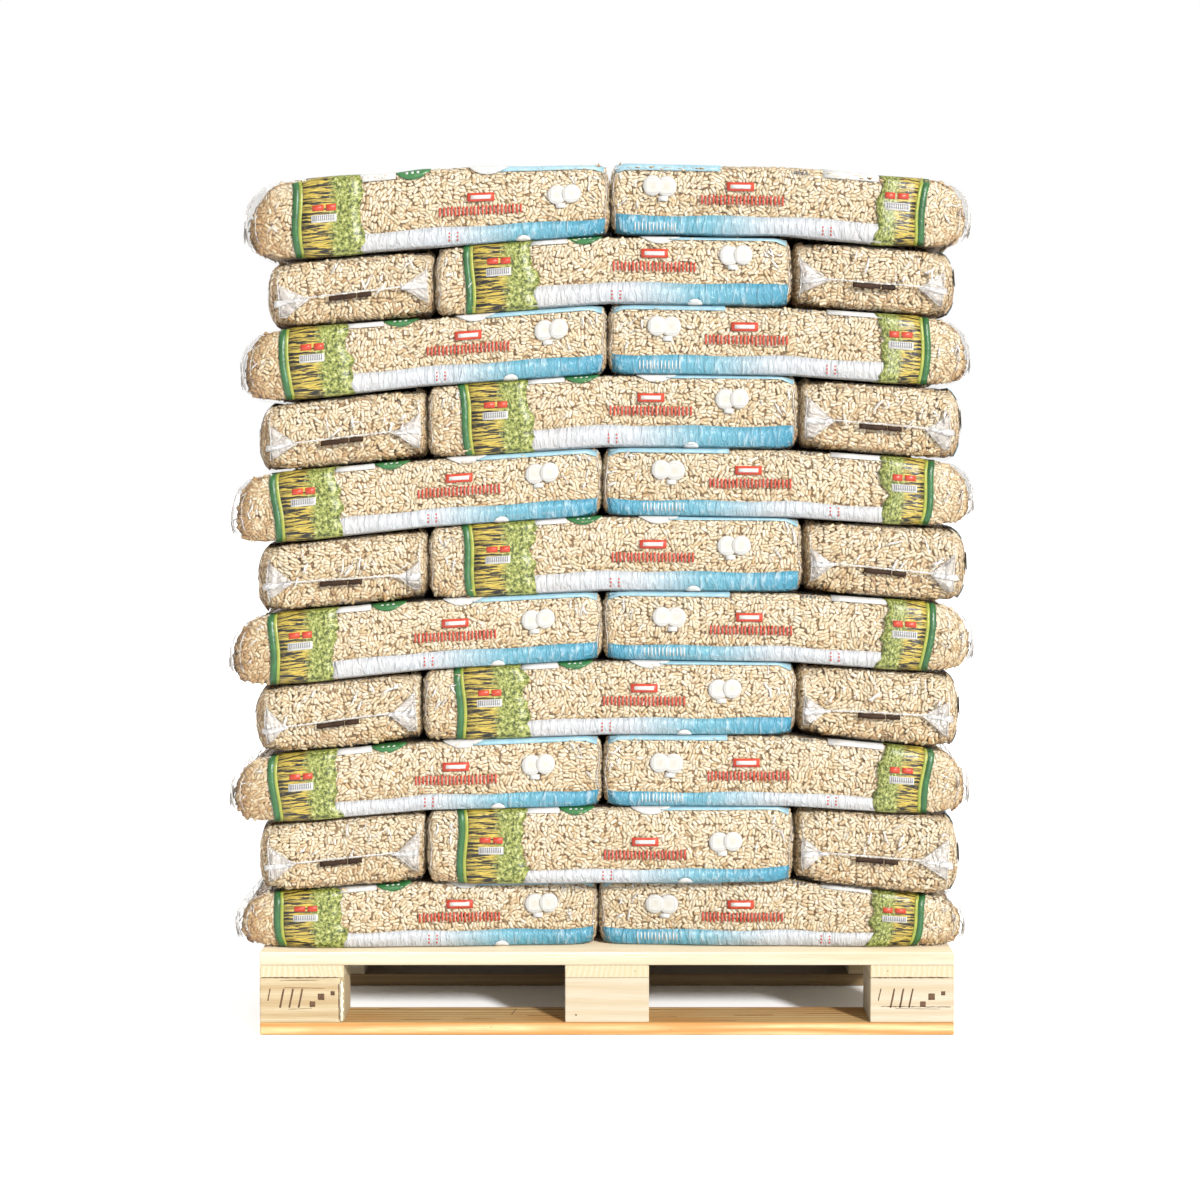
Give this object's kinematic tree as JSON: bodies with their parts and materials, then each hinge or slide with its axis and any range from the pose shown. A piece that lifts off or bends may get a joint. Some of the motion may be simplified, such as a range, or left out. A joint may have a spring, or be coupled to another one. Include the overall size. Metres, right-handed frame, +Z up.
{
  "type": "pallet of sacks",
  "caption": "Wooden four-way pallet loaded with interlocked layers of clear film sacks filled with wood pellets.",
  "frame": {"origin": "on the floor, under the middle of the pallet, at the centre of the middle bottom board's underside", "axes": "+X along the pallet's long side, the shown front faces -Y, +Z up"},
  "size_m": [1.2934, 0.8952, 1.502],
  "materials": {
    "pale_wood": "rough sawn, pale",
    "orange_wood": "rough sawn, resin-orange",
    "filled_sack": null
  },
  "bodies": {
    "root": {"bottom_board_front": "orange_wood", "bottom_board_middle": "orange_wood", "bottom_board_rear": "orange_wood", "block_front_left": "pale_wood", "block_front_middle": "pale_wood", "block_front_right": "pale_wood", "block_middle_left": "pale_wood", "block_middle_middle": "pale_wood", "block_middle_right": "pale_wood", "block_rear_left": "pale_wood", "block_rear_middle": "pale_wood", "block_rear_right": "pale_wood", "cross_board_left": "pale_wood", "cross_board_middle": "pale_wood", "cross_board_right": "pale_wood", "deck_board_1": "pale_wood", "deck_board_2": "pale_wood", "deck_board_3": "pale_wood", "deck_board_4": "pale_wood", "deck_board_5": "pale_wood", "sack_layer_01": "filled_sack", "sack_layer_02": "filled_sack", "sack_layer_03": "filled_sack", "sack_layer_04": "filled_sack", "sack_layer_05": "filled_sack", "sack_layer_06": "filled_sack", "sack_layer_07": "filled_sack", "sack_layer_08": "filled_sack", "sack_layer_09": "filled_sack", "sack_layer_10": "filled_sack", "sack_layer_11": "filled_sack"}
  },
  "joints": []
}
